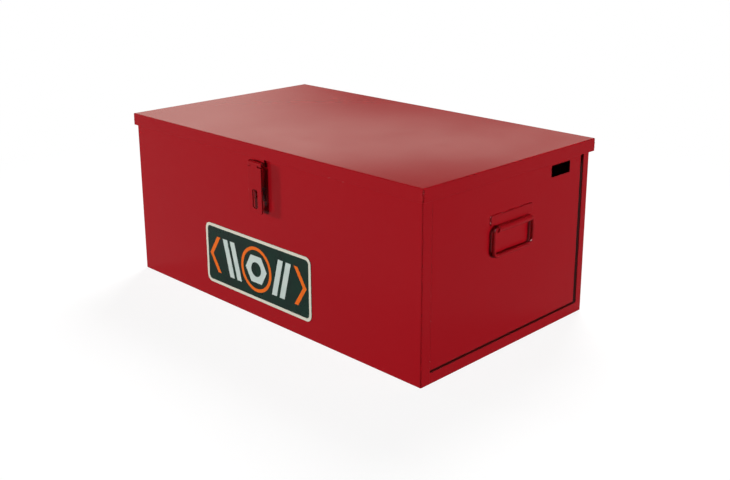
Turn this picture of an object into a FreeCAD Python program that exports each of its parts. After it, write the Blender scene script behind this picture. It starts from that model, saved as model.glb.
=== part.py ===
import FreeCAD, Part
import os
import re
import Sketcher

# Welder's chest: a painted sheet-steel box with a flanged lid on a rear hinge, a hasp and two bail handles.
# Frame: millimetres, +Z up, the front faces -Y, the origin is the middle of the base on the floor.

doc = FreeCAD.newDocument("WelderChest")
dims = doc.addObject("Spreadsheet::Sheet", "Dims")

# Driving dimensions: alias, value, meaning
DRIVING = (
    ("body_width", 799, "outside width of the body, end to end"),
    ("body_depth", 460, "outside depth of the body, front to back"),
    ("chest_height", 340, "floor to the top of the lid"),
    ("wall_sheet", 1.5, "thickness of the body sheets"),
    ("front_bend", 2, "outside bend radius of the body's front corners"),
    ("rear_bend", 2, "outside bend radius of the body's rear corners"),
    ("front_return", 22, "how far the front sheet runs round each corner"),
    ("bottom_strip", 19.5, "height of the pan's flange left showing on an end"),
    ("rear_strip", 17.5, "width of the back's flange left showing on an end"),
    ("rear_groove", 8, "width of the open seam between an end panel and the rear strip"),
    ("low_groove", 4, "height of the open seam between an end panel and the low strip"),
    ("groove_depth", 5, "depth of the open seams"),
    ("edge_bend", 2.5, "outside bend radius of an end panel's turned edges"),
    ("lap_width", 18, "how far an end panel laps over the joggled flanges"),
    ("rim_width", 16, "width of the folded-in rim, with the wall"),
    ("fit_gap", 0.2, "gap between the edges of neighbouring sheets"),
    ("lid_sheet", 1.5, "thickness of the lid sheet"),
    ("lid_flange", 24, "height of the lid's turned-down flanges"),
    ("lid_overhang", 5, "how far the flange stands out past the front and ends"),
    ("lid_bend", 1.6, "outside bend radius of the lid's edges"),
    ("lid_rest_gap", 0.3, "gap between the rim and the lid's underside"),
    ("stiffener_offset", 200, "distance of each lid stiffener from the middle"),
    ("stiffener_foot", 60, "width of a stiffener across its feet"),
    ("stiffener_crown", 34, "width of a stiffener's hat"),
    ("stiffener_height", 14, "depth of a stiffener below the lid sheet"),
    ("stiffener_sheet", 1.2, "thickness of a stiffener"),
    ("stiffener_setback", 14, "gap between a stiffener's end and the rim"),
    ("lead_slot_length", 57, "lead slot, along the depth"),
    ("lead_slot_height", 22, "lead slot, along the height"),
    ("lead_slot_setback", 61.5, "lead slot to the back of the body"),
    ("lead_slot_drop", 30, "lead slot's top below the lid's top"),
    ("lead_slot_corner", 1.5, "corner radius of the lead slot"),
    ("hinge_length", 760, "length of the rear hinge"),
    ("hinge_count", 20, "number of hinge knuckles"),
    ("hinge_side_gap", 0.4, "gap between two hinge knuckles"),
    ("hinge_barrel", 8, "outside diameter of the hinge knuckles"),
    ("hinge_pin_size", 4, "diameter of the hinge pin"),
    ("hinge_running", 0.05, "radial clearance of the hinge pin"),
    ("hinge_leaf_sheet", 1.5, "thickness of the hinge leaves"),
    ("hinge_standoff", 0.3, "gap between the hinge knuckles and the back"),
    ("hinge_drop", 5, "hinge axis below the lid flange's lower edge"),
    ("hinge_swing_gap", 0.5, "gap between a leaf's edge and the other leaf's knuckles"),
    ("hinge_body_leaf_height", 28, "hinge axis to the body leaf's lower edge"),
    ("hinge_lid_leaf_height", 25, "hinge axis to the lid leaf's upper edge"),
    ("hasp_width", 38, "width of the hasp"),
    ("hasp_plate", 2.5, "thickness of the hasp's leaf and strap"),
    ("hasp_barrel", 10, "outside diameter of the hasp's knuckles"),
    ("hasp_pin_size", 5, "diameter of the hasp's pin"),
    ("hasp_running", 0.05, "radial clearance of the hasp's pin"),
    ("hasp_standoff", 7, "hasp axis in front of the body"),
    ("hasp_drop", 10, "hasp axis below the lid flange's lower edge"),
    ("hasp_knuckle", 17.4, "length of the strap's middle knuckle"),
    ("hasp_side_gap", 0.3, "gap between two hasp knuckles"),
    ("hasp_swing_gap", 0.5, "gap between a hasp plate's edge and the other part's knuckles"),
    ("hasp_pin_end", 1, "how far the hasp's pin stands out at each side"),
    ("hasp_weld_height", 20, "height of the leaf behind the lid flange"),
    ("hasp_length", 93, "hasp axis to the strap's lower end"),
    ("hasp_corner", 6, "corner radius of the strap's lower end"),
    ("hasp_slot_width", 14.5, "width of the strap's slot"),
    ("hasp_slot_top", 48, "hasp axis to the top of the slot"),
    ("hasp_slot_length", 36, "length of the slot"),
    ("hasp_slot_corner", 4, "corner radius of the slot"),
    ("staple_thickness", 5, "thickness of the staple's lug"),
    ("staple_height", 11, "height of the staple's lug"),
    ("staple_reach", 12.2, "how far the lug stands out of the front"),
    ("staple_top", 51.5, "hasp axis to the top of the lug"),
    ("staple_eye", 4.6, "diameter of the padlock eye"),
    ("staple_eye_reach", 9.2, "padlock eye's centre in front of the body"),
    ("staple_corner", 2, "corner radius of the lug's nose"),
    ("staple_foot", 2, "thickness of the staple's foot plate"),
    ("staple_foot_width", 30, "width of the staple's foot plate"),
    ("staple_foot_height", 24, "height of the staple's foot plate"),
    ("handle_height", 231, "floor to the bail's axis"),
    ("handle_shift", -2, "handle's middle from the middle of the end, towards the back"),
    ("handle_plate_width", 116, "width of the handle plate"),
    ("handle_plate_height", 16.5, "height of the plate's flat part"),
    ("handle_plate_sheet", 2.4, "thickness of the handle plate"),
    ("handle_plate_corner", 1.8, "corner radius of the handle plate"),
    ("handle_neck", 7, "bail's axis to the plate's flat part"),
    ("handle_barrel", 12, "outside diameter of the rolled barrel"),
    ("handle_barrel_length", 92, "length of the rolled barrel"),
    ("handle_running", 0.1, "radial clearance of the bail in its barrel"),
    ("bail_rod", 7, "diameter of the bail's rod"),
    ("bail_width", 108, "bail's legs, centre to centre"),
    ("bail_drop", 48, "bail's axis to the middle of its grip"),
    ("bail_top_radius", 7, "bend radius beside the barrel, on the rod's middle line"),
    ("bail_grip_radius", 10, "bend radius beside the grip, on the rod's middle line"),
    ("label_width", 310, "width of the badge label"),
    ("label_height", 124, "height of the badge label"),
    ("label_thickness", 0.6, "thickness of the badge label"),
    ("label_corner", 14, "corner radius of the badge label"),
    ("label_centre_x", -18.5, "middle of the badge label from the middle of the chest"),
    ("label_centre_z", 95, "middle of the badge label above the floor"),
)

# Places that follow from the driving dimensions: alias, formula
PLACES = (
    ("half_width", "body_width / 2"),
    ("half_depth", "body_depth / 2"),
    ("inner_half_width", "half_width - wall_sheet"),
    ("lap_outside", "half_width - groove_depth"),
    ("lap_inside", "lap_outside - wall_sheet"),
    ("front_inside", "half_depth - wall_sheet"),
    ("return_end", "half_depth - front_return"),
    ("strip_front", "half_depth - rear_strip"),
    ("end_front_edge", "fit_gap - return_end"),
    ("end_rear_edge", "strip_front - rear_groove"),
    ("end_low_edge", "bottom_strip + low_groove"),
    ("front_lap_end", "lap_width - return_end"),
    ("rear_lap_end", "end_rear_edge - lap_width"),
    ("pan_height", "end_low_edge + lap_width"),
    ("rim_top", "chest_height - lid_sheet - lid_rest_gap"),
    ("rim_under", "rim_top - wall_sheet"),
    ("rim_inner_width", "half_width - rim_width"),
    ("rim_inner_depth", "half_depth - rim_width"),
    ("lid_half_width", "half_width + lid_overhang"),
    ("lid_front", "half_depth + lid_overhang"),
    ("lid_under", "chest_height - lid_sheet"),
    ("lid_lower_edge", "chest_height - lid_flange"),
    ("hinge_y", "half_depth + hinge_standoff + hinge_barrel / 2"),
    ("hinge_z", "lid_lower_edge - hinge_drop"),
    ("hinge_pitch", "hinge_length / hinge_count"),
    ("hinge_start", "-hinge_length / 2"),
    ("hinge_clear", "hinge_barrel / 2 + hinge_swing_gap"),
    ("lid_back_inside", "hinge_y + hinge_barrel / 2"),
    ("lid_back", "lid_back_inside + lid_sheet"),
    ("hasp_y", "-half_depth - hasp_standoff"),
    ("hasp_z", "lid_lower_edge - hasp_drop"),
    ("hasp_half", "hasp_width / 2"),
    ("hasp_clear", "hasp_barrel / 2 + hasp_swing_gap"),
    ("strap_outside", "half_depth + hasp_standoff + hasp_barrel / 2"),
    ("strap_low", "hasp_z - hasp_length"),
    ("strap_high", "hasp_z - hasp_clear"),
    ("slot_half", "hasp_slot_width / 2"),
    ("slot_high", "hasp_z - hasp_slot_top"),
    ("slot_low", "slot_high - hasp_slot_length"),
    ("staple_high", "hasp_z - staple_top"),
    ("staple_middle", "staple_high - staple_height / 2"),
    ("lug_front", "-half_depth - staple_reach"),
    ("lug_low", "staple_high - staple_height"),
    ("lead_slot_back", "half_depth - lead_slot_setback"),
    ("lead_slot_front", "lead_slot_back - lead_slot_length"),
    ("lead_slot_high", "chest_height - lead_slot_drop"),
    ("lead_slot_low", "lead_slot_high - lead_slot_height"),
    ("handle_axis", "half_width + handle_barrel / 2"),
    ("plate_low", "handle_height + handle_neck"),
    ("plate_high", "plate_low + handle_plate_height"),
    ("plate_front", "handle_shift - handle_plate_width / 2"),
    ("plate_back", "handle_shift + handle_plate_width / 2"),
    ("barrel_front", "handle_shift - handle_barrel_length / 2"),
    ("bail_front", "handle_shift - bail_width / 2"),
    ("bail_back", "handle_shift + bail_width / 2"),
    ("grip_z", "handle_height - bail_drop"),
    ("label_left", "label_centre_x - label_width / 2"),
    ("label_right", "label_centre_x + label_width / 2"),
    ("label_low", "label_centre_z - label_height / 2"),
    ("label_high", "label_centre_z + label_height / 2"),
    ("stiffener_end", "rim_inner_depth - stiffener_setback"),
)

TOLERANCE = 1e-4
QUARTER_TURN = 90
CYCLE_TURN = 120
ALONG_X = FreeCAD.Rotation(FreeCAD.Vector(0, 1, 0), QUARTER_TURN)
ALONG_Y = FreeCAD.Rotation(FreeCAD.Vector(1, 0, 0), -QUARTER_TURN)


def fill_sheet():
    """Write the driving dimensions and the places worked out from them."""
    row = 1
    for alias, size, meaning in DRIVING:
        dims.set(f"A{row}", meaning)
        dims.set(f"B{row}", str(size))
        dims.setAlias(f"B{row}", alias)
        row += 1
    for alias, formula in PLACES:
        dims.set(f"A{row}", alias.replace("_", " "))
        dims.set(f"B{row}", "=" + formula)
        dims.setAlias(f"B{row}", alias)
        row += 1
    doc.recompute()


def bound(formula):
    """A formula of aliases as an expression on the sheet."""
    return re.sub(r"\b(?!ceil|floor)([a-z][a-z_]+)\b", r"Dims.\1", formula)


def value(formula):
    """Number that a formula of aliases comes to."""
    return float(dims.evalExpression(bound(formula)))


def new_body(name):
    """An empty body whose label names its node."""
    body = doc.addObject("PartDesign::Body", name)
    body.Label = name
    return body


def put(feature, x, y, z, turn=None):
    """Place a primitive at formulas of the sheet, turned first."""
    if turn is not None:
        feature.Placement = FreeCAD.Placement(FreeCAD.Vector(), turn)
    for axis, formula in zip("xyz", (x, y, z)):
        feature.setExpression(f".Placement.Base.{axis}", bound(formula))


def block(body, name, x, y, z, kind="Additive"):
    """A box between pairs of formulas along each axis."""
    box = body.newObject(f"PartDesign::{kind}Box", name)
    for size, (low, high) in zip(("Length", "Width", "Height"), (x, y, z)):
        box.setExpression(size, bound(f"({high}) - ({low})"))
    put(box, x[0], y[0], z[0])
    return box


def rod(body, name, start, length, diameter, turn, kind="Additive"):
    """A cylinder from a start point along the turned axis."""
    cylinder = body.newObject(f"PartDesign::{kind}Cylinder", name)
    cylinder.setExpression("Radius", bound(f"({diameter}) / 2"))
    cylinder.setExpression("Height", bound(length))
    put(cylinder, *start, turn)
    return cylinder


def plane_of(body, role):
    """One of the body's own origin planes."""
    return next(f for f in body.Origin.OriginFeatures if f.Role == role)


def sketch_on(body, name, role, offset):
    """An empty sketch on one of the body's origin planes, moved along its normal by a formula."""
    sketch = body.newObject("Sketcher::SketchObject", name)
    sketch.AttachmentSupport = [(plane_of(body, role), "")]
    sketch.MapMode = "FlatFace"
    sketch.setExpression(".AttachmentOffset.Base.z", bound(offset))
    return sketch


def hold(sketch, kind, place, formula):
    """Constrain a measure of a sketch to a formula."""
    index = sketch.addConstraint(Sketcher.Constraint(kind, *place, value(formula)))
    sketch.setExpression(f"Constraints[{index}]", bound(formula))


def outline(body, name, role, corners, offset):
    """A closed sketch through corners given as pairs of formulas."""
    sketch = sketch_on(body, name, role, offset)
    points = [FreeCAD.Vector(value(a), value(b), 0) for a, b in corners]
    count = len(points)
    for i in range(count):
        sketch.addGeometry(Part.LineSegment(points[i], points[(i + 1) % count]), False)
    for i in range(count):
        sketch.addConstraint(Sketcher.Constraint("Coincident", i, 2, (i + 1) % count, 1))
    for i, (across, up) in enumerate(corners):
        hold(sketch, "DistanceX", (-1, 1, i, 1), across)
        hold(sketch, "DistanceY", (-1, 1, i, 1), up)
    return sketch


def rectangle(across, up):
    """Corners of a rectangle between two pairs of formulas."""
    return (across[0], up[0]), (across[1], up[0]), (across[1], up[1]), (across[0], up[1])


def disc(body, name, role, centre, diameter, offset):
    """A sketch of one circle."""
    sketch = sketch_on(body, name, role, offset)
    middle = FreeCAD.Vector(value(centre[0]), value(centre[1]), 0)
    radius = f"({diameter}) / 2"
    sketch.addGeometry(Part.Circle(middle, FreeCAD.Vector(0, 0, 1), value(radius)), False)
    hold(sketch, "DistanceX", (-1, 1, 0, 3), centre[0])
    hold(sketch, "DistanceY", (-1, 1, 0, 3), centre[1])
    hold(sketch, "Radius", (0,), radius)
    return sketch


def pad(body, name, sketch, length, reverse=False):
    """Extrude a sketch by a formula."""
    feature = body.newObject("PartDesign::Pad", name)
    feature.Profile = sketch
    feature.Reversed = reverse
    feature.setExpression("Length", bound(length))
    return feature


def edges_between(body, low, high):
    """Names of the body's straight edges that lie inside a box, given as two corner points."""
    doc.recompute()
    room = FreeCAD.BoundBox(*(c - TOLERANCE for c in low), *(c + TOLERANCE for c in high))
    names = []
    for index, edge in enumerate(body.Tip.Shape.Edges, 1):
        straight = isinstance(edge.Curve, Part.Line)
        if straight and all(room.isInside(vertex.Point) for vertex in edge.Vertexes):
            names.append(f"Edge{index}")
    return names


def upright_edges(body, x, y):
    """Names of the vertical edges at a place seen from above."""
    reach = value("chest_height")
    return edges_between(body, (x, y, -reach), (x, y, reach))


def round_edges(body, name, edges, radius):
    """Fillet named edges of the body's last feature by a formula."""
    if not edges:
        raise ValueError(f"{name}: no edge found to round")
    feature = body.newObject("PartDesign::Fillet", name)
    feature.Base = (body.Group[-2] if body.Tip is feature else body.Tip, edges)
    feature.setExpression("Radius", bound(radius))
    return feature


def round_both(body, name, x, y, radius):
    """Fillet the upright edges at x and at its mirror."""
    edges = upright_edges(body, value(x), value(y)) + upright_edges(body, -value(x), value(y))
    round_edges(body, name, edges, radius)


def pattern(body, name, originals, count, pitch):
    """Copies of features along X."""
    doc.recompute()
    feature = body.newObject("PartDesign::LinearPattern", name)
    feature.Originals = originals
    feature.Direction = (plane_of(body, "X_Axis"), [""])
    feature.Mode = "Spacing"
    feature.setExpression("Offset", bound(pitch))
    feature.setExpression("Occurrences", bound(count))
    body.Tip = feature
    return feature


def front_panel():
    """Front sheet bent round both corners, joggled in behind each end panel, its rim folded in."""
    body = new_body("front_panel")
    corners = (
        ("half_width", "-return_end"),
        ("half_width", "-half_depth"),
        ("-half_width", "-half_depth"),
        ("-half_width", "-return_end"),
        ("-inner_half_width", "-return_end"),
        ("-inner_half_width", "-front_inside"),
        ("inner_half_width", "-front_inside"),
        ("inner_half_width", "-return_end"),
    )
    pad(body, "FrontWall", outline(body, "FrontPlan", "XY_Plane", corners, "0"), "rim_top")
    round_both(body, "BendOutside", "half_width", "-half_depth", "front_bend")
    round_both(body, "BendInside", "inner_half_width", "-front_inside", "front_bend - wall_sheet")
    block(
        body,
        "FrontRim",
        ("-half_width + front_bend", "half_width - front_bend"),
        ("-front_inside", "-rim_inner_depth"),
        ("rim_under", "rim_top"),
    )
    web_y = ("-return_end - wall_sheet", "-return_end")
    lap_y = ("-return_end", "front_lap_end")
    for name, web, lap in (
        ("Right", ("lap_inside", "inner_half_width"), ("lap_inside", "lap_outside")),
        ("Left", ("-inner_half_width", "-lap_inside"), ("-lap_outside", "-lap_inside")),
    ):
        block(body, f"{name}Web", web, web_y, ("0", "rim_under - fit_gap"))
        block(body, f"{name}Lap", lap, lap_y, ("pan_height + fit_gap", "rim_under - fit_gap"))


def end_panel(name, side):
    """Shallow pan of one end, its edges turned in onto the laps; side is 1 at +X and -1 at -X."""
    body = new_body(name)
    wall = ("inner_half_width", "half_width")
    turned = ("lap_outside", "inner_half_width")
    rim = ("rim_inner_width", "inner_half_width")
    if side < 0:
        wall = ("-half_width", "-inner_half_width")
        turned = ("-inner_half_width", "-lap_outside")
        rim = ("-inner_half_width", "-rim_inner_width")
    wall_y = ("end_front_edge", "end_rear_edge")
    wall_z = ("end_low_edge", "rim_top")
    block(body, "EndWall", wall, wall_y, wall_z)
    block(body, "FrontTurn", turned, ("end_front_edge", "end_front_edge + wall_sheet"), wall_z)
    block(body, "RearTurn", turned, ("end_rear_edge - wall_sheet", "end_rear_edge"), wall_z)
    block(body, "LowTurn", turned, wall_y, ("end_low_edge", "end_low_edge + wall_sheet"))
    block(
        body,
        "EndRim",
        rim,
        ("-rim_inner_depth + fit_gap", "rim_inner_depth - fit_gap"),
        ("rim_under", "rim_top"),
    )
    x = side * value("half_width")
    rear = value("end_rear_edge")
    low = value("end_low_edge")
    edges = edges_between(body, (x, rear, low), (x, rear, value("rim_top")))
    edges += edges_between(body, (x, value("end_front_edge"), low), (x, rear, low))
    round_edges(body, "EdgeBends", edges, "edge_bend")
    return body


def lead_slot(body):
    """Opening for welding leads through the right end, near its top rear corner."""
    doc.recompute()
    before = body.Shape.Volume
    wall = ("inner_half_width - wall_sheet", "half_width + wall_sheet")
    across = ("lead_slot_front", "lead_slot_back")
    block(body, "LeadSlot", wall, across, ("lead_slot_low", "lead_slot_high"), "Subtractive")
    doc.recompute()
    if body.Shape.Volume >= before:
        raise ValueError("the lead slot cuts nothing")
    edges = []
    for y in ("lead_slot_front", "lead_slot_back"):
        for z in ("lead_slot_low", "lead_slot_high"):
            low = (value("inner_half_width"), value(y), value(z))
            high = (value("half_width"), value(y), value(z))
            edges += edges_between(body, low, high)
    round_edges(body, "LeadSlotCorners", edges, "lead_slot_corner")


def back_panel():
    """Back sheet bent round both rear corners, joggled in behind each end panel, its rim folded in."""
    body = new_body("back_panel")
    corners = (
        ("half_width", "strip_front"),
        ("half_width", "half_depth"),
        ("-half_width", "half_depth"),
        ("-half_width", "strip_front"),
        ("-lap_inside", "strip_front"),
        ("-lap_inside", "strip_front + wall_sheet"),
        ("-inner_half_width", "strip_front + wall_sheet"),
        ("-inner_half_width", "front_inside"),
        ("inner_half_width", "front_inside"),
        ("inner_half_width", "strip_front + wall_sheet"),
        ("lap_inside", "strip_front + wall_sheet"),
        ("lap_inside", "strip_front"),
    )
    pad(body, "BackWall", outline(body, "BackPlan", "XY_Plane", corners, "0"), "rim_under - fit_gap")
    round_both(body, "BendOutside", "half_width", "half_depth", "rear_bend")
    round_both(body, "BendInside", "inner_half_width", "front_inside", "rear_bend - wall_sheet")
    for name, lap in (
        ("Right", ("lap_inside", "lap_outside")),
        ("Left", ("-lap_outside", "-lap_inside")),
    ):
        block(
            body,
            f"{name}Lap",
            lap,
            ("rear_lap_end", "strip_front"),
            ("pan_height + fit_gap", "rim_under - fit_gap"),
        )
    rim_x = ("-lap_inside + fit_gap", "lap_inside - fit_gap")
    block(body, "BackRim", rim_x, ("rim_inner_depth", "front_inside"), ("rim_under", "rim_top"))
    bend_x = ("-half_width + rear_bend", "half_width - rear_bend")
    block(body, "RimBend", bend_x, ("front_inside", "half_depth"), ("rim_under - fit_gap", "rim_top"))


def bottom_panel():
    """Floor pan with four turned-up flanges, those at the ends joggled in behind the end panels."""
    body = new_body("bottom_panel")
    narrow = "lap_inside - fit_gap"
    strip_end = "strip_front - fit_gap"
    corners = (
        ("half_width", "-return_end"),
        (narrow, "-return_end"),
        (narrow, "-front_inside"),
        (f"-({narrow})", "-front_inside"),
        (f"-({narrow})", "-return_end"),
        ("-half_width", "-return_end"),
        ("-half_width", strip_end),
        (f"-({narrow})", strip_end),
        (f"-({narrow})", "front_inside"),
        (narrow, "front_inside"),
        (narrow, strip_end),
        ("half_width", strip_end),
    )
    pad(body, "Floor", outline(body, "FloorPlan", "XY_Plane", corners, "0"), "wall_sheet")
    round_both(body, "FrontCorners", narrow, "-front_inside", "front_bend")
    round_both(body, "RearCorners", narrow, "front_inside", "rear_bend")
    strip_y = ("-return_end", strip_end)
    for name, side in (("Right", 1), ("Left", -1)):
        strip = ("inner_half_width", "half_width")
        web = ("lap_inside", "inner_half_width")
        lap = ("lap_inside", "lap_outside")
        if side < 0:
            strip = ("-half_width", "-inner_half_width")
            web = ("-inner_half_width", "-lap_inside")
            lap = ("-lap_outside", "-lap_inside")
        block(body, f"{name}Strip", strip, strip_y, ("0", "bottom_strip"))
        block(body, f"{name}Web", web, strip_y, ("bottom_strip - wall_sheet", "bottom_strip"))
        block(body, f"{name}Lap", lap, strip_y, ("bottom_strip", "pan_height"))
    block(
        body,
        "FrontFlange",
        ("-lap_inside + fit_gap + front_bend", "lap_inside - fit_gap - front_bend"),
        ("-front_inside", "-front_inside + wall_sheet"),
        ("0", "pan_height"),
    )
    block(
        body,
        "RearFlange",
        ("-lap_inside + fit_gap + rear_bend", "lap_inside - fit_gap - rear_bend"),
        ("front_inside - wall_sheet", "front_inside"),
        ("0", "pan_height"),
    )


def badge_label():
    """Plain rounded badge plate on the front."""
    body = new_body("badge_label")
    corners = rectangle(("label_left", "label_right"), ("label_low", "label_high"))
    sketch = outline(body, "LabelOutline", "XZ_Plane", corners, "half_depth")
    pad(body, "LabelPlate", sketch, "label_thickness")
    edges = []
    for x in ("label_left", "label_right"):
        for z in ("label_low", "label_high"):
            low = (value(x), -value("lid_front"), value(z))
            high = (value(x), -value("half_depth"), value(z))
            edges += edges_between(body, low, high)
    round_edges(body, "LabelCorners", edges, "label_corner")


def hasp_staple():
    """Lug with a padlock eye on a foot plate, welded to the front."""
    body = new_body("hasp_staple")
    corners = rectangle(("lug_front", "-half_depth"), ("lug_low", "staple_high"))
    sketch = outline(body, "LugOutline", "YZ_Plane", corners, "-staple_thickness / 2")
    pad(body, "Lug", sketch, "staple_thickness")
    edges = []
    for z in ("lug_low", "staple_high"):
        low = (-value("staple_thickness"), value("lug_front"), value(z))
        high = (value("staple_thickness"), value("lug_front"), value(z))
        edges += edges_between(body, low, high)
    round_edges(body, "NoseCorners", edges, "staple_corner")
    block(
        body,
        "Foot",
        ("-staple_foot_width / 2", "staple_foot_width / 2"),
        ("-half_depth - staple_foot", "-half_depth"),
        ("staple_middle - staple_foot_height / 2", "staple_middle + staple_foot_height / 2"),
    )
    start = ("-staple_thickness", "-half_depth - staple_eye_reach", "staple_middle")
    rod(body, "Eye", start, "2 * staple_thickness", "staple_eye", ALONG_X, "Subtractive")


def lid_shell():
    """Top sheet with four turned-down flanges."""
    body = new_body("lid_shell")
    block(
        body,
        "LidBox",
        ("-lid_half_width", "lid_half_width"),
        ("-lid_front", "lid_back"),
        ("lid_lower_edge", "chest_height"),
    )
    top = value("chest_height")
    half = value("lid_half_width")
    edges = edges_between(body, (-half, -value("lid_front"), top), (half, value("lid_back"), top))
    for side in (-half, half):
        for y in (-value("lid_front"), value("lid_back")):
            edges += upright_edges(body, side, y)
    round_edges(body, "LidBends", edges, "lid_bend")
    block(
        body,
        "LidHollow",
        ("-lid_half_width + lid_sheet", "lid_half_width - lid_sheet"),
        ("-lid_front + lid_sheet", "lid_back_inside"),
        ("lid_lower_edge - lid_sheet", "lid_under"),
        "Subtractive",
    )


def lid_stiffener(name, side):
    """Hat channel under the lid sheet, front to back."""
    body = new_body(name)
    middle = f"{side} * stiffener_offset"
    depth = ("-stiffener_end", "stiffener_end")
    block(
        body,
        "Feet",
        (f"{middle} - stiffener_foot / 2", f"{middle} + stiffener_foot / 2"),
        depth,
        ("lid_under - stiffener_sheet", "lid_under"),
    )
    block(
        body,
        "Hat",
        (f"{middle} - stiffener_crown / 2", f"{middle} + stiffener_crown / 2"),
        depth,
        ("lid_under - stiffener_height", "lid_under"),
    )
    block(
        body,
        "HatHollow",
        (
            f"{middle} - stiffener_crown / 2 + stiffener_sheet",
            f"{middle} + stiffener_crown / 2 - stiffener_sheet",
        ),
        ("-stiffener_end - stiffener_sheet", "stiffener_end + stiffener_sheet"),
        ("lid_under - stiffener_height + stiffener_sheet", "lid_under + stiffener_sheet"),
        "Subtractive",
    )


def hinge_leaf(name, first, count, plate_y, plate_z, web_z):
    """A leaf plate with every second knuckle of the rear hinge; first is its first knuckle's number."""
    body = new_body(name)
    start = f"hinge_start + {first} * hinge_pitch + hinge_side_gap / 2"
    length = "hinge_pitch - hinge_side_gap"
    plate_x = ("hinge_start + hinge_side_gap / 2", "-hinge_start - hinge_side_gap / 2")
    block(body, "Plate", plate_x, plate_y, plate_z)
    strip = outline(body, "WebOutline", "YZ_Plane", rectangle(plate_y, web_z), start)
    web = pad(body, "Web", strip, length)
    ring = disc(body, "KnuckleRound", "YZ_Plane", ("hinge_y", "hinge_z"), "hinge_barrel", start)
    knuckle = pad(body, "Knuckle", ring, length)
    pattern(body, "Knuckles", [web, knuckle], count, "2 * hinge_pitch")
    bore_start = ("hinge_start - hinge_barrel", "hinge_y", "hinge_z")
    bore_length = "hinge_length + 2 * hinge_barrel"
    bore = "hinge_pin_size + 2 * hinge_running"
    rod(body, "PinBore", bore_start, bore_length, bore, ALONG_X, "Subtractive")


def hinge():
    """Continuous rear hinge: the body leaf on the back, the lid leaf inside the rear flange, and the pin."""
    hinge_leaf(
        "hinge_body_leaf",
        0,
        "ceil(hinge_count / 2)",
        ("half_depth", "half_depth + hinge_leaf_sheet"),
        ("hinge_z - hinge_body_leaf_height", "hinge_z - hinge_clear"),
        ("hinge_z - hinge_clear", "hinge_z"),
    )
    hinge_leaf(
        "hinge_lid_leaf",
        1,
        "floor(hinge_count / 2)",
        ("lid_back_inside - hinge_leaf_sheet", "lid_back_inside"),
        ("hinge_z + hinge_clear", "hinge_z + hinge_lid_leaf_height"),
        ("hinge_z", "hinge_z + hinge_clear"),
    )
    body = new_body("hinge_pin")
    start = ("hinge_start", "hinge_y", "hinge_z")
    rod(body, "Pin", start, "hinge_length", "hinge_pin_size", ALONG_X)


def hasp_leaf():
    """Leaf behind the lid's front flange, with the two outer knuckles of the hasp."""
    body = new_body("hasp_leaf")
    inside = "lid_front - lid_sheet"
    plate_y = (f"-({inside})", f"-({inside}) + hasp_plate")
    block(
        body,
        "LeafPlate",
        ("-hasp_half", "hasp_half"),
        plate_y,
        ("hasp_z + hasp_clear", "lid_lower_edge + hasp_weld_height"),
    )
    outer_length = "(hasp_width - hasp_knuckle) / 2 - hasp_side_gap"
    for name, start in (
        ("Left", "-hasp_half"),
        ("Right", "hasp_knuckle / 2 + hasp_side_gap"),
    ):
        block(
            body,
            f"{name}Web",
            (start, f"{start} + {outer_length}"),
            plate_y,
            ("hasp_z", "hasp_z + hasp_clear"),
        )
        place = (start, "hasp_y", "hasp_z")
        rod(body, f"{name}Knuckle", place, outer_length, "hasp_barrel", ALONG_X)
    hasp_bore(body)


def hasp_bore(body):
    """Bore for the hasp's pin through a body."""
    start = ("-hasp_width", "hasp_y", "hasp_z")
    bore = "hasp_pin_size + 2 * hasp_running"
    rod(body, "PinBore", start, "2 * hasp_width", bore, ALONG_X, "Subtractive")


def hasp_pin():
    """Pin of the hasp."""
    body = new_body("hasp_pin")
    start = ("-hasp_half - hasp_pin_end", "hasp_y", "hasp_z")
    rod(body, "Pin", start, "hasp_width + 2 * hasp_pin_end", "hasp_pin_size", ALONG_X)


def hasp_strap():
    """Slotted strap that hangs over the staple, with the hasp's middle knuckle."""
    body = new_body("hasp_strap")
    corners = rectangle(("-hasp_half", "hasp_half"), ("strap_low", "strap_high"))
    sketch = outline(body, "StrapOutline", "XZ_Plane", corners, "strap_outside")
    pad(body, "StrapPlate", sketch, "hasp_plate", reverse=True)
    front = -value("strap_outside")
    back = front + value("hasp_plate")
    edges = []
    for x in ("-hasp_half", "hasp_half"):
        place = (value(x), value("strap_low"))
        edges += edges_between(body, (place[0], front, place[1]), (place[0], back, place[1]))
    round_edges(body, "StrapCorners", edges, "hasp_corner")
    block(
        body,
        "Slot",
        ("-slot_half", "slot_half"),
        ("-strap_outside - hasp_plate", "-strap_outside + 2 * hasp_plate"),
        ("slot_low", "slot_high"),
        "Subtractive",
    )
    edges = []
    for x in ("-slot_half", "slot_half"):
        for z in ("slot_low", "slot_high"):
            edges += edges_between(body, (value(x), front, value(z)), (value(x), back, value(z)))
    round_edges(body, "SlotCorners", edges, "hasp_slot_corner")
    plate_y = ("-strap_outside", "-strap_outside + hasp_plate")
    middle = ("-hasp_knuckle / 2", "hasp_knuckle / 2")
    block(body, "StrapWeb", middle, plate_y, ("strap_high", "hasp_z"))
    place = ("-hasp_knuckle / 2", "hasp_y", "hasp_z")
    rod(body, "StrapKnuckle", place, "hasp_knuckle", "hasp_barrel", ALONG_X)
    hasp_bore(body)


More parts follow.
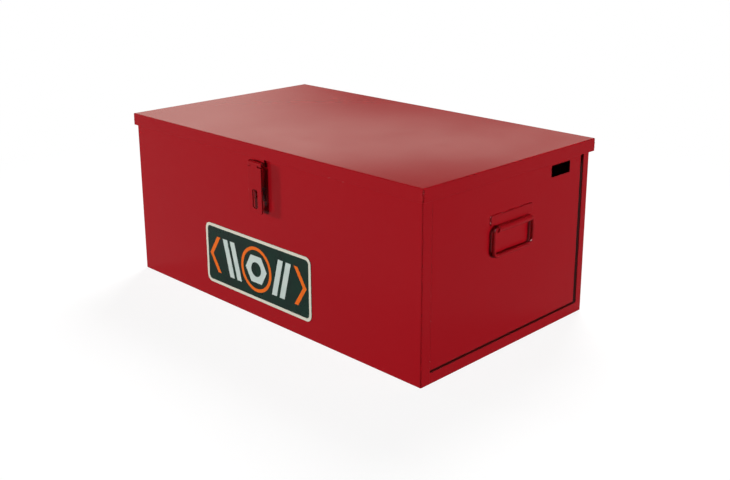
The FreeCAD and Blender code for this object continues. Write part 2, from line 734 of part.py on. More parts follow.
def handle_plate(name, side):
    """Plate on one end with its lower edge rolled into a barrel for the bail."""
    body = new_body(name)
    flat = ("half_width", "half_width + handle_plate_sheet")
    axis = "handle_axis"
    if side < 0:
        flat = ("-half_width - handle_plate_sheet", "-half_width")
        axis = "-handle_axis"
    block(body, "Flat", flat, ("plate_front", "plate_back"), ("plate_low", "plate_high"))
    edges = []
    face = side * value("half_width")
    front = side * (value("half_width") + value("handle_plate_sheet"))
    for y in ("plate_front", "plate_back"):
        for z in ("plate_low", "plate_high"):
            low = (min(face, front), value(y), value(z))
            high = (max(face, front), value(y), value(z))
            edges += edges_between(body, low, high)
    round_edges(body, "PlateCorners", edges, "handle_plate_corner")
    barrel_y = ("barrel_front", "barrel_front + handle_barrel_length")
    block(body, "Neck", flat, barrel_y, ("handle_height", "plate_low"))
    start = (axis, "barrel_front", "handle_height")
    rod(body, "Barrel", start, "handle_barrel_length", "handle_barrel", ALONG_Y)
    bore_start = (axis, "barrel_front - handle_barrel", "handle_height")
    bore_length = "handle_barrel_length + 2 * handle_barrel"
    bore = "bail_rod + 2 * handle_running"
    rod(body, "RodBore", bore_start, bore_length, bore, ALONG_Y, "Subtractive")


def bend(body, name, centre, radius, quarter):
    """Quarter turn of the bail's rod about a centre; quarter 0 bulges to +Y +Z, the next ones follow on."""
    torus = body.newObject("PartDesign::AdditiveTorus", name)
    torus.setExpression("Radius1", bound(radius))
    torus.setExpression("Radius2", bound("bail_rod / 2"))
    torus.Angle3 = QUARTER_TURN
    onto_end = FreeCAD.Rotation(FreeCAD.Vector(1, 1, 1), CYCLE_TURN)
    turn = FreeCAD.Rotation(FreeCAD.Vector(1, 0, 0), quarter * QUARTER_TURN) * onto_end
    put(torus, *centre, turn)


def handle_bail(name, side):
    """Closed bail of round rod; its top run lies in the plate's barrel."""
    body = new_body(name)
    axis = f"{side} * handle_axis"
    top = "handle_height"
    after_top = "bail_top_radius"
    before_grip = "bail_grip_radius"
    leg = f"{top} - grip_z - {after_top} - {before_grip}"
    leg_foot = f"grip_z + {before_grip}"
    leg_head = f"{top} - {after_top}"
    rod(
        body,
        "TopRun",
        (axis, f"bail_front + {after_top}", top),
        f"bail_width - 2 * {after_top}",
        "bail_rod",
        ALONG_Y,
    )
    bend(body, "RearTopBend", (axis, f"bail_back - {after_top}", leg_head), after_top, 0)
    rod(body, "RearLeg", (axis, "bail_back", leg_foot), leg, "bail_rod", None)
    bend(body, "RearGripBend", (axis, f"bail_back - {before_grip}", leg_foot), before_grip, 3)
    rod(
        body,
        "Grip",
        (axis, f"bail_front + {before_grip}", "grip_z"),
        f"bail_width - 2 * {before_grip}",
        "bail_rod",
        ALONG_Y,
    )
    bend(body, "FrontGripBend", (axis, f"bail_front + {before_grip}", leg_foot), before_grip, 2)
    rod(body, "FrontLeg", (axis, "bail_front", leg_foot), leg, "bail_rod", None)
    bend(body, "FrontTopBend", (axis, f"bail_front + {after_top}", leg_head), after_top, 1)


def build():
    """Make every piece and return them."""
    fill_sheet()
    front_panel()
    lead_slot(end_panel("right_end_panel", 1))
    end_panel("left_end_panel", -1)
    back_panel()
    bottom_panel()
    badge_label()
    hasp_staple()
    lid_shell()
    lid_stiffener("lid_stiffener_right", 1)
    lid_stiffener("lid_stiffener_left", -1)
    hinge()
    hasp_leaf()
    hasp_pin()
    hasp_strap()
    for word, side in (("right", 1), ("left", -1)):
        handle_plate(f"handle_plate_{word}", side)
        handle_bail(f"handle_bail_{word}", side)
    doc.recompute()
    return [o for o in doc.Objects if o.TypeId == "PartDesign::Body"]


def check(pieces):
    """Stop if any object failed or any piece is not one valid solid."""
    for item in doc.Objects:
        if {"Invalid", "Error"} & set(item.State):
            raise ValueError(f"{item.Name} failed: {item.State}")
    for piece in pieces:
        shape = piece.Shape
        if shape.isNull() or not shape.isValid() or len(shape.Solids) != 1:
            raise ValueError(f"{piece.Label} is not one valid solid")


def export(pieces):
    """Write each piece under its node's name."""
    os.makedirs("parts", exist_ok=True)
    for piece in pieces:
        piece.Shape.exportStep(f"parts/{piece.Label}.step")
        print(piece.Label, round(piece.Shape.Volume), "mm3")


chest = build()
check(chest)
export(chest)
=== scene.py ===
import bpy
import bmesh
import math
import random
from mathutils import Matrix, Vector


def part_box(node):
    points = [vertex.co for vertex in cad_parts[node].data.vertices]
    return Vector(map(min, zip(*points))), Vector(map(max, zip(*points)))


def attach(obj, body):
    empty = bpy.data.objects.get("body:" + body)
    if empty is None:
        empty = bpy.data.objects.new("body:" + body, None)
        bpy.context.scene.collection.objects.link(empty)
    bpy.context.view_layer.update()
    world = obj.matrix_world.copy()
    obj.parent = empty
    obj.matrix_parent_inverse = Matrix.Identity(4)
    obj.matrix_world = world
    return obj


# Looks of the welder's chest: red enamel on every sheet, weld beads, the badge's print,
# the floor, the lights and the camera. Lengths are in metres unless a comment says millimetres.

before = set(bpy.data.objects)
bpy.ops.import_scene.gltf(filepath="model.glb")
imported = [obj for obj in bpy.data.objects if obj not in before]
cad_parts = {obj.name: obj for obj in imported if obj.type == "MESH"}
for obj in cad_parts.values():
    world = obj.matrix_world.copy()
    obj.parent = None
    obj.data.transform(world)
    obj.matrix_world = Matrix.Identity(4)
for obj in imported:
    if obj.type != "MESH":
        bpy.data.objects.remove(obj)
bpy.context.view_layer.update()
MM = 0.001

# The photograph's camera: frame width, focal length and shift in pixels, turns in degrees
PHOTO_WIDTH = 730
FOCAL_PX = 1000.55
SHIFT_PX = 60
CAMERA_AZIMUTH = 45.188
CAMERA_DEPRESSION = 15.663
CAMERA_ROLL = -0.201
CAMERA_PLACE = (1.3826, -1.3325, 0.7661)
SENSOR = 36

WHITE = (1, 1, 1, 1)
ENAMEL = (0.400, 0.0040, 0.0100, 1)
ENAMEL_WORN = (0.330, 0.0060, 0.0120, 1)
ENAMEL_DUSTY = (0.400, 0.0300, 0.0330, 1)
CHIP = (0.62, 0.47, 0.44, 1)
# Colour of the painted shade in the open seams and on the sheet behind the hasp's strap
PAINTED_SHADE = (0.15, 0.008, 0.008, 1)
STEEL_DARK = (0.30, 0.29, 0.28, 1)
STEEL_PALE = (0.46, 0.45, 0.43, 1)
FLOOR_DARK = (0.13, 0.13, 0.13, 1)
FLOOR_PALE = (0.15, 0.15, 0.15, 1)
STUDIO_TINT = (1.0, 0.98, 0.87, 1)

# Enamel: how far from an edge it wears, the edge's roundness, the heights of its relief, what dust
# and the painted seam shade add to its roughness, and the stretch of its runs of dust
ENAMEL_IOR = 1.30
EDGE_WEAR = 0.0012
EDGE_ROUND = 0.0007
SHEET_WAVE = 0.0005
ORANGE_PEEL = 0.000005
DUST_DULLS = 0.10
SEAM_SHADE_DULLS = 0.6
RUN_STRETCH = (9, 9, 1.2)

# Chips show where the flake pattern passes these values, which wear brings down
CHIP_START = 0.70
CHIP_FULL = 0.76
CHIP_SPREAD = 0.08

# Pin steel's grain runs along the pin; the badge's ink stands a little proud in specks
GRAIN_STRETCH = (12, 260, 260)
GRAIN_HEIGHT = 0.00004
INK_HEIGHT = 0.00002
INK_IOR = 1.35

# Painted shade in the open seams round the end panels, standing in for their shadow: on what is sunk
# under the end's face, counted from the middle to each end, along the depth, and above the foot
SEAM_ACROSS = (0.3942, 0.3980)
SEAM_ALONG = (-0.2097, 0.2129)
SEAM_FOOT = 0.0192
SEAM_BLUR = 0.0002

# Painted shade on the sheet behind the hasp's strap: where it starts and where it is full, inwards from
# the strap's outline, and through the sheet from its front face
STRAP_SHADE_SIDE = (0.0005, 0.0035)
STRAP_SHADE_FOOT = (0.001, 0.008)
STRAP_SHADE_TOP = (0.028, 0.040)
STRAP_SHADE_DEPTH = (-0.2290, -0.2295)

# Weld beads: rings to a ripple, a ripple's size against the bead's, a ring's unevenness, the drift
# of a ripple sideways in radii, and the taper of the two ends
RIPPLE_RINGS = 8
BEAD_SIDES = 14
RIPPLE_SIZES = (0.80, 1.12)
RING_JITTER = 0.06
RIPPLE_DRIFT = 0.22
BEAD_END = 0.25
BEAD_TAPER = 6

# Welds down the lid's corners: right or left, rear or front, inset and radius in millimetres
LID_CORNERS = (
    (1, -1, 1.3, 3.1),
    (-1, -1, 1.9, 2.3),
    (1, 1, 1.9, 2.3),
    (-1, 1, 1.8, 2.5),
)
LID_WELD_FOOT = 1
LID_WELD_TOP = 1.6
LID_WELD_SEED = 11

# Welds round each handle plate, in millimetres from its corners and its middle
HANDLE_SIDES = (("right", 1, 38), ("left", -1, 24))
HANDLE_WELD_RADIUS = 1.8
HANDLE_WELD_PROUD = 0.5
HANDLE_WELD_INSET = 0.5
HANDLE_WELD_RUN = 34
HANDLE_WELD_FORWARD = 14
HANDLE_WELD_BACKWARD = 11
HANDLE_WELD_DROP = 1.5
HANDLE_WELD_DEPTH = 15

# Welds over and under the staple's foot, in millimetres
STAPLE_WELD_RADIUS = 1.1
STAPLE_WELD_INSET = 2
STAPLE_WELD_PROUD = 0.5
STAPLE_WELD_SEED = 51

# The badge's print, in millimetres: margins from its edge, and sizes about its middle
PRINT_LIFT = 0.10
PRINT_THICKNESS = 0.12
RIM_MARGIN = 0.6
RIM_RADIUS = 13.7
FIELD_MARGIN = 12.6
FIELD_RADIUS = 8.0
ROUND_SIDES = 60
CORNER_STEPS = 8
RING_OUTER = 45
RING_INNER = 38.5
NUT_SIDES = 6
NUT_RADIUS = 31
NUT_HOLE = 14.5
MARK_HEIGHT = 37
BAR_MIDDLES = (62, 84)
BAR_HALF_WIDTH = 7
BAR_SLANT = 10
CHEVRON_START = 109
CHEVRON_WIDTH = 10
CHEVRON_TIP = 24

# Floor: its size and drop, what the camera and gloss see of it, and where it fades to white
FLOOR_SIZE = 40
FLOOR_DROP = 0.0005
FLOOR_LIFT = 0.90
FLOOR_GLOSS_LEFT = 0.22
FLOOR_GLOSS_RIGHT = 0.10
FLOOR_GLOSS_SPAN = (0.0, 0.6)
FLOOR_FADE = (0.75, 1.5)

# Studio seen in gloss: a low band behind the chest, bright on the left, and a screen on the far left.
# Heights are the rise of a direction, and turns are in radians from the back towards the right.
BAND_LOW = 0.212
BAND_HIGH = 0.256
BAND_BLUR = 0.010
BAND_LEFT = -1.00
BAND_RIGHT = -0.60
BAND_LIGHT = 1.30
BAND_DIM = 0.82
SCREEN_EDGE = -0.86
SCREEN_BLUR = 0.10
SCREEN_LIGHT = 0.7
STUDIO_LIGHT = 0.03

# Lamps: name, place, the point it faces, width, height, watts, and whether it gives glints alone
LAMPS = (
    ("lamp_left", (-7.6, -16.3, 1.05), (0, -0.1, 0.17), 2.5, 2.0, 1640, False),
    ("lamp_far_left", (-17.2, -5.4, 1.05), (0, -0.1, 0.17), 1.0, 2.0, 2500, False),
    ("lamp_right", (16.7, 6.75, 1.05), (0.1, 0, 0.17), 7.0, 2.0, 2310, False),
    ("lamp_back", (-2.0, 3.5, 4.95), (0, 0, 0.34), 2.4, 2.4, 438, False),
    ("lamp_glint", (1.4, -1.4, 2.6), (0, 0, 0.2), 0.6, 0.6, 260, True),
)

# Socket numbers of a colour mix
MIX_A = 6
MIX_B = 7
MIX_RESULT = 2


class Nodes:
    """A node tree, with short calls for the nodes used here."""

    def __init__(self, tree):
        self.tree = tree

    def node(self, kind, **settings):
        node = self.tree.nodes.new(kind)
        for key, setting in settings.items():
            setattr(node, key, setting)
        return node

    def put(self, socket, source):
        """Link a socket to another node's output, or set its number or colour."""
        if isinstance(source, bpy.types.NodeSocket):
            self.tree.links.new(source, socket)
        else:
            socket.default_value = source

    def place(self):
        return self.node("ShaderNodeTexCoord").outputs["Object"]

    def axes(self, vector):
        node = self.node("ShaderNodeSeparateXYZ")
        self.put(node.inputs[0], vector)
        return node.outputs

    def stretched(self, vector, factors):
        node = self.node("ShaderNodeMapping")
        node.inputs["Scale"].default_value = factors
        self.put(node.inputs["Vector"], vector)
        return node.outputs[0]

    def noise(self, vector, scale, detail=2, rough=0.5):
        node = self.node("ShaderNodeTexNoise")
        self.put(node.inputs["Vector"], vector)
        node.inputs["Scale"].default_value = scale
        node.inputs["Detail"].default_value = detail
        node.inputs["Roughness"].default_value = rough
        return node.outputs["Fac"]

    def math(self, operation, a, b=None, clamp=False):
        node = self.node("ShaderNodeMath", operation=operation, use_clamp=clamp)
        self.put(node.inputs[0], a)
        if b is not None:
            self.put(node.inputs[1], b)
        return node.outputs[0]

    def product(self, first, *others):
        for other in others:
            first = self.math("MULTIPLY", first, other)
        return first

    def total(self, a, b, clamp=False):
        return self.math("ADD", a, b, clamp)

    def span(self, value, low, high, to_low=0, to_high=1):
        """Value carried from one span to another, smoothly and held at the ends."""
        node = self.node("ShaderNodeMapRange", interpolation_type="SMOOTHSTEP")
        for socket, source in zip(node.inputs, (value, low, high, to_low, to_high)):
            self.put(socket, source)
        return node.outputs[0]

    def within(self, value, limits, blur):
        """1 between two limits and 0 outside them, with a soft step inside each."""
        low, high = limits
        return self.product(self.span(value, low, low + blur), self.span(value, high, high - blur))

    def mix(self, factor, a, b):
        node = self.node("ShaderNodeMix", data_type="RGBA")
        self.put(node.inputs[0], factor)
        self.put(node.inputs[MIX_A], a)
        self.put(node.inputs[MIX_B], b)
        return node.outputs[MIX_RESULT]

    def bump(self, height, distance, normal=None):
        node = self.node("ShaderNodeBump")
        node.inputs["Distance"].default_value = distance
        self.put(node.inputs["Height"], height)
        if normal is not None:
            self.put(node.inputs["Normal"], normal)
        return node.outputs[0]

    def soft_edges(self, radius):
        node = self.node("ShaderNodeBevel", samples=4)
        node.inputs["Radius"].default_value = radius
        return node.outputs[0]

    def edge_mask(self, radius):
        """1 along outer edges, 0 on flats: how far the bevelled normal leans from the true one."""
        geometry = self.node("ShaderNodeNewGeometry")
        dot = self.node("ShaderNodeVectorMath", operation="DOT_PRODUCT")
        self.put(dot.inputs[0], self.soft_edges(radius))
        self.put(dot.inputs[1], geometry.outputs["True Normal"])
        return self.span(dot.outputs["Value"], low=0.995, high=0.80)


class Shader(Nodes):
    """The nodes of a new material."""

    def __init__(self, name):
        self.material = bpy.data.materials.new(name)
        self.material.use_nodes = True
        super().__init__(self.material.node_tree)
        self.main = self.tree.nodes["Principled BSDF"]
        self.out = self.tree.nodes["Material Output"]


def seam_painted_shade(s, where):
    """Painted shade: 1 in the open seams round the end panels, where their shadow falls."""
    x, y, z = s.axes(where)
    return s.product(
        s.within(s.math("ABSOLUTE", x), SEAM_ACROSS, SEAM_BLUR),
        s.within(y, SEAM_ALONG, SEAM_BLUR),
        s.span(z, SEAM_FOOT, SEAM_FOOT + SEAM_BLUR),
    )


def strap_painted_shade(s, where, mottle):
    """Painted shade in blotches on the sheet behind the hasp's strap, inside its outline."""
    x, y, z = s.axes(where)
    low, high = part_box("hasp_strap")
    return s.product(
        s.span(s.math("ABSOLUTE", x), *(high[0] - inset for inset in STRAP_SHADE_SIDE)),
        s.span(y, *STRAP_SHADE_DEPTH),
        s.span(z, *(low[2] + inset for inset in STRAP_SHADE_FOOT)),
        s.span(z, *(high[2] - inset for inset in STRAP_SHADE_TOP)),
        s.span(mottle, low=0.3, high=0.6, to_low=0.60, to_high=0.85),
    )


def enamel(name, tone, wear, gloss=0.22, painted_shade=False, dull_rims=0.35):
    """Semi-gloss red enamel on sheet steel: orange peel, slight sheet waves, haze, dust, chipped edges.

    Tone darkens it, wear spreads the chips, gloss is its least roughness, dull_rims is what the edges
    add to that, and with painted_shade it gets painted shade, darker in colour, in the open seams and
    behind the hasp's strap."""
    s = Shader(name)
    where = s.place()
    cloud = s.noise(where, scale=2.6, detail=3, rough=0.55)
    mottle = s.noise(where, scale=55, detail=3, rough=0.6)
    streak = s.noise(s.stretched(where, RUN_STRETCH), scale=3, detail=4, rough=0.6)
    red = tuple(c * tone for c in ENAMEL[:3]) + (1,)
    worn = tuple(c * tone for c in ENAMEL_WORN[:3]) + (1,)
    colour = s.mix(s.span(cloud, low=0.38, high=0.66, to_high=0.16), red, worn)
    colour = s.mix(s.span(mottle, low=0.52, high=0.74, to_high=0.08), colour, worn)

    up = s.axes(s.node("ShaderNodeNewGeometry").outputs["Normal"])[2]
    settled = s.span(streak, low=0.42, high=0.72, to_low=0.04, to_high=0.16)
    dust = s.product(s.span(up, low=0.6, high=0.95), settled)
    colour = s.mix(dust, colour, ENAMEL_DUSTY)

    rim = s.edge_mask(EDGE_WEAR)
    patches = s.span(s.noise(where, scale=7), low=0.40, high=0.62, to_low=0.80, to_high=1.12)
    flakes = s.product(s.noise(where, scale=170, detail=5, rough=0.75), patches)
    eased = CHIP_SPREAD * wear
    chips = s.product(rim, s.span(flakes, CHIP_START - eased, CHIP_FULL - eased))
    colour = s.mix(chips, colour, CHIP)

    haze = s.noise(where, scale=5)
    rough = s.span(haze, low=0.30, high=0.70, to_low=gloss - 0.01, to_high=gloss + 0.02)
    rough = s.total(rough, s.product(dust, DUST_DULLS))
    rough = s.total(rough, s.product(rim, dull_rims), clamp=True)

    # Painted shade: the open seams and the sheet behind the hasp's strap are darkened in colour where
    # shadow falls; the seams are also made rougher
    if painted_shade:
        seams = seam_painted_shade(s, where)
        colour = s.mix(seams, colour, PAINTED_SHADE)
        colour = s.mix(strap_painted_shade(s, where, mottle), colour, PAINTED_SHADE)
        rough = s.total(rough, s.product(seams, SEAM_SHADE_DULLS), clamp=True)

    s.put(s.main.inputs["Base Color"], colour)
    s.put(s.main.inputs["Roughness"], rough)
    s.main.inputs["IOR"].default_value = ENAMEL_IOR
    waves = s.bump(s.noise(where, scale=2.6, detail=0), SHEET_WAVE, s.soft_edges(EDGE_ROUND))
    s.put(s.main.inputs["Normal"], s.bump(s.noise(where, scale=420), ORANGE_PEEL, waves))
    return s.material


def bare_steel(name):
    """Drawn pin steel with a thin haze of overspray."""
    s = Shader(name)
    where = s.place()
    grain = s.noise(s.stretched(where, GRAIN_STRETCH), scale=4, detail=3)
    spray = s.span(s.noise(where, scale=90, detail=3), low=0.48, high=0.60, to_high=0.75)
    s.put(s.main.inputs["Base Color"], s.mix(spray, s.mix(grain, STEEL_DARK, STEEL_PALE), ENAMEL))
    s.put(s.main.inputs["Metallic"], s.math("SUBTRACT", 1, spray))
    s.put(s.main.inputs["Roughness"], s.span(grain, low=0.3, high=0.7, to_low=0.30, to_high=0.48))
    s.put(s.main.inputs["Normal"], s.bump(grain, GRAIN_HEIGHT))
    return s.material


def print_ink(name, colour, dark, rough=0.34):
    """Screen-printed ink on the badge: slight tone changes, tiny speckle."""
    s = Shader(name)
    where = s.place()
    tone = s.span(s.noise(where, scale=34, detail=3), low=0.35, high=0.65, to_high=0.6)
    fleck = s.span(s.noise(where, scale=520), low=0.60, high=0.70, to_high=0.35)
    s.put(s.main.inputs["Base Color"], s.mix(fleck, s.mix(tone, colour, dark), dark))
    haze = s.noise(where, scale=25)
    sheen = s.span(haze, low=0.3, high=0.7, to_low=rough - 0.05, to_high=rough + 0.06)
    s.put(s.main.inputs["Roughness"], sheen)
    s.main.inputs["IOR"].default_value = INK_IOR
    s.put(s.main.inputs["Normal"], s.bump(s.noise(where, scale=700), INK_HEIGHT))
    return s.material


paint_body = enamel("enamel_body", tone=1.0, wear=0.25)
paint_seams = enamel("enamel_body_seams", tone=1.0, wear=0.25, painted_shade=True)
paint_lid = enamel("enamel_lid", tone=1.0, wear=0.45, gloss=0.115)
paint_hardware = enamel("enamel_hardware", tone=0.96, wear=0.65)
paint_weld = enamel("enamel_welds", tone=0.92, wear=0.8, gloss=0.15, dull_rims=0)
# Painted shade: the staple sits in the hasp strap's shadow, so its enamel is painted at less than half
# the tone
paint_staple_shade = enamel("enamel_staple_painted_shade", tone=0.42, wear=0.8)
steel = bare_steel("pin_steel")
field = print_ink("badge_field", (0.0085, 0.022, 0.017, 1), (0.006, 0.034, 0.022, 1), rough=0.30)
cream = print_ink("badge_cream", (0.79, 0.76, 0.64, 1), (0.70, 0.70, 0.60, 1))
pale = print_ink("badge_pale", (0.64, 0.73, 0.69, 1), (0.56, 0.67, 0.64, 1))
orange = print_ink("badge_orange", (0.93, 0.17, 0.012, 1), (0.84, 0.15, 0.012, 1))

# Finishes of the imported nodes; those not named here have the hardware's
FINISH = {
    "front_panel": paint_seams,
    "right_end_panel": paint_body,
    "left_end_panel": paint_body,
    "back_panel": paint_seams,
    "bottom_panel": paint_seams,
    "badge_label": field,
    "hinge_pin": steel,
    "hasp_staple": paint_staple_shade,
    "lid_shell": paint_lid,
    "lid_stiffener_left": paint_lid,
    "lid_stiffener_right": paint_lid,
}
for name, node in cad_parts.items():
    node.data.materials.clear()
    node.data.materials.append(FINISH.get(name, paint_hardware))


def box_mm(node):
    """A node's lowest and highest corners at rest, in millimetres."""
    return (Vector(corner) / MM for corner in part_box(node))


def piece(name, bm, material, body):
    """A new object from a mesh under work, which rides on a body and takes a slot's finish."""
    mesh = bpy.data.meshes.new(name)
    bm.to_mesh(mesh)
    bm.free()
    obj = bpy.data.objects.new(name, mesh)
    bpy.context.scene.collection.objects.link(obj)
    mesh.materials.append(material)
    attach(obj, body)


def bead(name, start, end, radius, body, seed, pitch=0.9, dip=0.24):
    """A hand-laid weld bead between two points in millimetres: uneven overlapping ripples, painted over.

    The ripples' pitch is in radii; the dip between two is a share of the radius."""
    rng = random.Random(seed)
    a, b = Vector(start) * MM, Vector(end) * MM
    radius *= MM
    pitch *= radius
    length = (b - a).length
    along = (b - a).normalized()
    side = along.orthogonal().normalized()
    across = along.cross(side)
    rings = max(RIPPLE_RINGS, round(length / pitch * RIPPLE_RINGS))
    lumps = [rng.uniform(*RIPPLE_SIZES) for _ in range(int(length / pitch) + 2)]
    bm = bmesh.new()
    loops = []
    drift = Vector((0, 0, 0))
    for i in range(rings + 1):
        t = i / rings
        turn, part = divmod(t * length / pitch, 1)
        ripple = lumps[int(turn)] * (1 - dip + dip * math.sin(math.pi * part))
        taper = min(1, BEAD_TAPER * t + BEAD_END, BEAD_TAPER * (1 - t) + BEAD_END)
        r = radius * ripple * taper * (1 + RING_JITTER * (rng.random() - 0.5))
        if part < 1 / RIPPLE_RINGS:
            drift = side * (rng.random() - 0.5) + across * (rng.random() - 0.5)
            drift *= RIPPLE_DRIFT * radius
        middle = a.lerp(b, t) + drift
        loops.append([
            bm.verts.new(middle + (side * math.cos(q) + across * math.sin(q)) * r)
            for q in (2 * math.pi * k / BEAD_SIDES for k in range(BEAD_SIDES))
        ])
    for low, high in zip(loops, loops[1:]):
        for k in range(BEAD_SIDES):
            n = (k + 1) % BEAD_SIDES
            bm.faces.new((low[k], low[n], high[n], high[k])).smooth = True
    bm.faces.new(reversed(loops[0]))
    bm.faces.new(loops[-1])
    bmesh.ops.recalc_face_normals(bm, faces=bm.faces)
    piece(name, bm, paint_weld, body)


def lid_corner_beads():
    """Welds down the four corners of the lid's flanges."""
    low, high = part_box("lid_shell")
    for i, (side, rear, inset, radius) in enumerate(LID_CORNERS):
        x = (high[0] if side > 0 else low[0]) / MM - side * inset
        y = (high[1] if rear > 0 else low[1]) / MM - rear * inset
        start = (x, y, low[2] / MM + LID_WELD_FOOT)
        end = (x, y, high[2] / MM - LID_WELD_TOP)
        name = f"lid_corner_weld_{i + 1}"
        bead(name, start, end, radius, "lid", LID_WELD_SEED + i, pitch=1.7, dip=0.34)


def handle_beads():
    """Short fillet welds at the ends of each handle plate's top and sides."""
    for word, side, seed in HANDLE_SIDES:
        low, high = box_mm(f"handle_plate_{word}")
        x = (low.x if side > 0 else high.x) + side * HANDLE_WELD_PROUD
        front, rear, top = low.y, high.y, high.z
        middle = (front + rear) / 2
        upper, lower = top - HANDLE_WELD_DROP, top - HANDLE_WELD_DEPTH
        runs = (
            ((x, front + HANDLE_WELD_INSET, top), (x, front + HANDLE_WELD_RUN, top)),
            ((x, middle - HANDLE_WELD_FORWARD, top), (x, middle + HANDLE_WELD_BACKWARD, top)),
            ((x, rear - HANDLE_WELD_RUN, top), (x, rear - HANDLE_WELD_INSET, top)),
            ((x, front, upper), (x, front, lower)),
            ((x, rear, upper), (x, rear, lower)),
        )
        for i, (start, end) in enumerate(runs):
            name = f"handle_weld_{word}_{i + 1}"
            radius = HANDLE_WELD_RADIUS
            bead(name, start, end, radius, "chest", seed + i, pitch=1.5, dip=0.34)


def staple_beads():
    """Fillet welds over and under the staple's foot plate."""
    low, high = box_mm("hasp_staple")
    y = high.y - STAPLE_WELD_PROUD
    left, right = low.x + STAPLE_WELD_INSET, high.x - STAPLE_WELD_INSET
    for i, z in enumerate((low.z, high.z)):
        name = f"staple_weld_{i + 1}"
        radius = STAPLE_WELD_RADIUS
        bead(name, (left, y, z), (right, y, z), radius, "chest", STAPLE_WELD_SEED + i)


def flat(name, material, outer, inner=None):
    """A thin printed shape on the badge, from outlines in millimetres about its middle."""
    low, high = box_mm("badge_label")
    middle = (low + high) / 2
    front = low.y - PRINT_LIFT
    bm = bmesh.new()

    def outline(points):
        return [bm.verts.new(Vector((middle.x + u, front, middle.z + v)) * MM) for u, v in points]

    outer = outline(outer)
    if inner is None:
        bm.faces.new(outer)
    else:
        inner = outline(inner)
        for k in range(len(outer)):
            n = (k + 1) % len(outer)
            bm.faces.new((outer[k], outer[n], inner[n], inner[k]))
    bmesh.ops.recalc_face_normals(bm, faces=bm.faces)
    made = bmesh.ops.extrude_face_region(bm, geom=list(bm.faces))
    moved = [v for v in made["geom"] if isinstance(v, bmesh.types.BMVert)]
    bmesh.ops.translate(bm, verts=moved, vec=Vector((0, PRINT_THICKNESS * MM, 0)))
    bmesh.ops.recalc_face_normals(bm, faces=bm.faces)
    piece(name, bm, material, "chest")


def rounded(width, height, radius):
    """Outline of a rounded rectangle about the middle."""
    points = []
    for side, rise, turn in ((1, 1, 0), (-1, 1, 90), (-1, -1, 180), (1, -1, 270)):
        for k in range(CORNER_STEPS + 1):
            a = math.radians(turn + 90 * k / CORNER_STEPS)
            points.append((
                side * (width / 2 - radius) + radius * math.cos(a),
                rise * (height / 2 - radius) + radius * math.sin(a),
            ))
    return points


def polygon(sides, radius):
    """Outline of a regular polygon about the middle."""
    step = 2 * math.pi / sides
    return [(radius * math.cos(k * step), radius * math.sin(k * step)) for k in range(sides)]


def nut_outline():
    """Outline of the hex nut, with as many points as its round hole."""
    corners = [Vector(corner) for corner in polygon(NUT_SIDES, NUT_RADIUS)]
    steps = ROUND_SIDES // NUT_SIDES
    return [
        tuple(corners[k].lerp(corners[(k + 1) % NUT_SIDES], i / steps))
        for k in range(NUT_SIDES) for i in range(steps)
    ]


def badge_print():
    """Generic badge: cream rim, a pale hex nut in an orange ring, pale slanted bars, orange chevrons."""
    low, high = box_mm("badge_label")
    width, height = high.x - low.x, high.z - low.z
    outside = rounded(width - RIM_MARGIN, height - RIM_MARGIN, RIM_RADIUS)
    inside = rounded(width - FIELD_MARGIN, height - FIELD_MARGIN, FIELD_RADIUS)
    flat("badge_rim", cream, outside, inside)
    flat("badge_ring", orange, polygon(ROUND_SIDES, RING_OUTER), polygon(ROUND_SIDES, RING_INNER))
    flat("badge_nut", pale, nut_outline(), polygon(ROUND_SIDES, NUT_HOLE))
    for word, side in (("right", 1), ("left", -1)):
        for i, x in enumerate(BAR_MIDDLES):
            foot, head = x - BAR_SLANT, x + BAR_SLANT
            bar = (
                (foot - BAR_HALF_WIDTH, -MARK_HEIGHT), (foot + BAR_HALF_WIDTH, -MARK_HEIGHT),
                (head + BAR_HALF_WIDTH, MARK_HEIGHT), (head - BAR_HALF_WIDTH, MARK_HEIGHT),
            )
            flat(f"badge_bar_{word}_{i + 1}", pale, [(side * u, v) for u, v in bar])
        near, far = CHEVRON_START, CHEVRON_START + CHEVRON_WIDTH
        chevron = (
            (near, MARK_HEIGHT), (far, MARK_HEIGHT), (far + CHEVRON_TIP, 0),
            (far, -MARK_HEIGHT), (near, -MARK_HEIGHT), (near + CHEVRON_TIP, 0),
        )
        flat(f"badge_chevron_{word}", orange, [(side * u, v) for u, v in chevron])


def floor():
    """A pale floor: it takes the object's shadow near by and fades to a white ground further out."""
    bpy.ops.mesh.primitive_plane_add(size=FLOOR_SIZE, location=(0, 0, -FLOOR_DROP))
    plane = bpy.context.object
    plane.name = "floor"
    s = Shader("floor_pale")
    s.tree.nodes.remove(s.main)
    path = s.node("ShaderNodeLightPath").outputs
    seen = path["Is Camera Ray"]
    x, y, _ = s.axes(s.place())
    reach = s.math("SQRT", s.total(s.math("POWER", x, 2), s.math("POWER", y, 2)))

    ground = s.node("ShaderNodeBsdfDiffuse")
    tone = s.span(s.noise(s.place(), scale=1.5, detail=3), low=0.3, high=0.7)
    s.put(ground.inputs["Color"], s.mix(tone, FLOOR_DARK, FLOOR_PALE))
    lift = s.node("ShaderNodeEmission")
    shine = s.span(x, *FLOOR_GLOSS_SPAN, FLOOR_GLOSS_LEFT, FLOOR_GLOSS_RIGHT)
    gloss = s.product(path["Is Glossy Ray"], shine)
    s.put(lift.inputs["Strength"], s.total(s.product(seen, FLOOR_LIFT), gloss))
    near = s.node("ShaderNodeAddShader")
    s.put(near.inputs[0], ground.outputs[0])
    s.put(near.inputs[1], lift.outputs[0])

    white = s.node("ShaderNodeEmission")
    blend = s.node("ShaderNodeMixShader")
    s.put(blend.inputs[0], s.product(seen, s.span(reach, *FLOOR_FADE)))
    s.put(blend.inputs[1], near.outputs[0])
    s.put(blend.inputs[2], white.outputs[0])
    s.put(s.out.inputs["Surface"], blend.outputs[0])
    plane.data.materials.append(s.material)


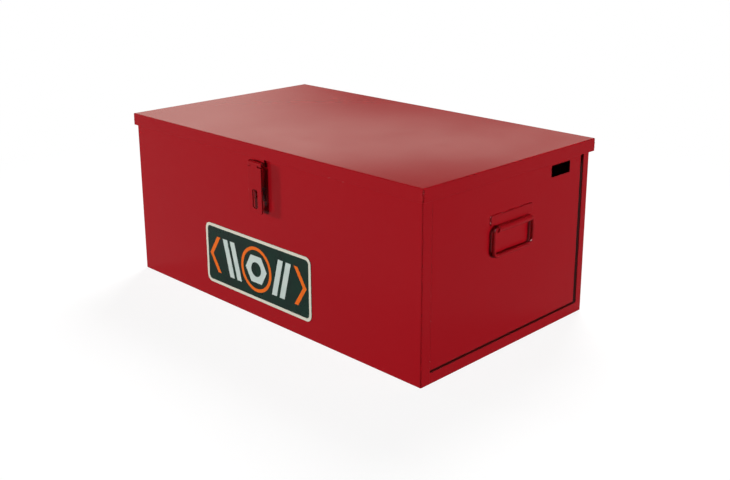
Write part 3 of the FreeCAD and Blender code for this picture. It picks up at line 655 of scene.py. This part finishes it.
def studio():
    """A dim studio with a warm band low behind the chest; white where the camera sees past the floor."""
    world = bpy.data.worlds.new("studio")
    bpy.context.scene.world = world
    world.use_nodes = True
    s = Nodes(world.node_tree)
    s.tree.nodes.clear()
    east, north, rise = s.axes(s.node("ShaderNodeTexCoord").outputs["Generated"])
    turn = s.math("ARCTAN2", east, north)
    band = s.product(
        s.span(rise, BAND_LOW - BAND_BLUR, BAND_LOW + BAND_BLUR),
        s.span(rise, BAND_HIGH + BAND_BLUR, BAND_HIGH - BAND_BLUR),
        s.span(turn, BAND_RIGHT, BAND_LEFT, BAND_DIM, BAND_LIGHT),
    )
    screen = s.product(
        s.span(turn, SCREEN_EDGE + SCREEN_BLUR, SCREEN_EDGE - SCREEN_BLUR),
        s.span(rise, BAND_HIGH, BAND_HIGH - 2 * BAND_BLUR),
        SCREEN_LIGHT,
    )
    light = s.total(s.math("MAXIMUM", band, screen), STUDIO_LIGHT)
    seen = s.node("ShaderNodeLightPath").outputs["Is Camera Ray"]
    back = s.node("ShaderNodeBackground")
    s.put(back.inputs["Color"], s.mix(seen, STUDIO_TINT, WHITE))
    s.put(back.inputs["Strength"], s.math("MAXIMUM", light, seen))
    out = s.node("ShaderNodeOutputWorld")
    s.put(out.inputs["Surface"], back.outputs[0])


def lamp(name, place, aim, width, height, watts, glint):
    """A soft lamp that faces a point: it lights the paint without a glint, or gives glints alone."""
    light = bpy.data.lights.new(name, "AREA")
    light.shape = "RECTANGLE"
    light.size = width
    light.size_y = height
    light.energy = watts
    obj = bpy.data.objects.new(name, light)
    bpy.context.scene.collection.objects.link(obj)
    obj.location = place
    obj.rotation_euler = (Vector(aim) - Vector(place)).to_track_quat("-Z", "Y").to_euler()
    obj.visible_glossy = glint
    obj.visible_diffuse = not glint


def camera():
    """The camera of the photograph."""
    az, dep, roll = (math.radians(a) for a in (CAMERA_AZIMUTH, CAMERA_DEPRESSION, CAMERA_ROLL))
    back = Vector((math.sin(az) * math.cos(dep), -math.cos(az) * math.cos(dep), math.sin(dep)))
    level = Vector((math.cos(az), math.sin(az), 0))
    up = back.cross(level)
    right = level * math.cos(roll) + up * math.sin(roll)
    top = up * math.cos(roll) - level * math.sin(roll)
    data = bpy.data.cameras.new("camera")
    data.sensor_width = SENSOR
    data.lens = FOCAL_PX / PHOTO_WIDTH * SENSOR
    data.shift_y = -SHIFT_PX / PHOTO_WIDTH
    obj = bpy.data.objects.new("camera", data)
    turn = Matrix((right, top, back)).transposed().to_4x4()
    obj.matrix_world = Matrix.Translation(CAMERA_PLACE) @ turn
    bpy.context.scene.collection.objects.link(obj)
    bpy.context.scene.camera = obj


lid_corner_beads()
handle_beads()
staple_beads()
badge_print()
floor()
studio()
for row in LAMPS:
    lamp(*row)
camera()

scene = bpy.context.scene
scene.view_settings.view_transform = "Standard"
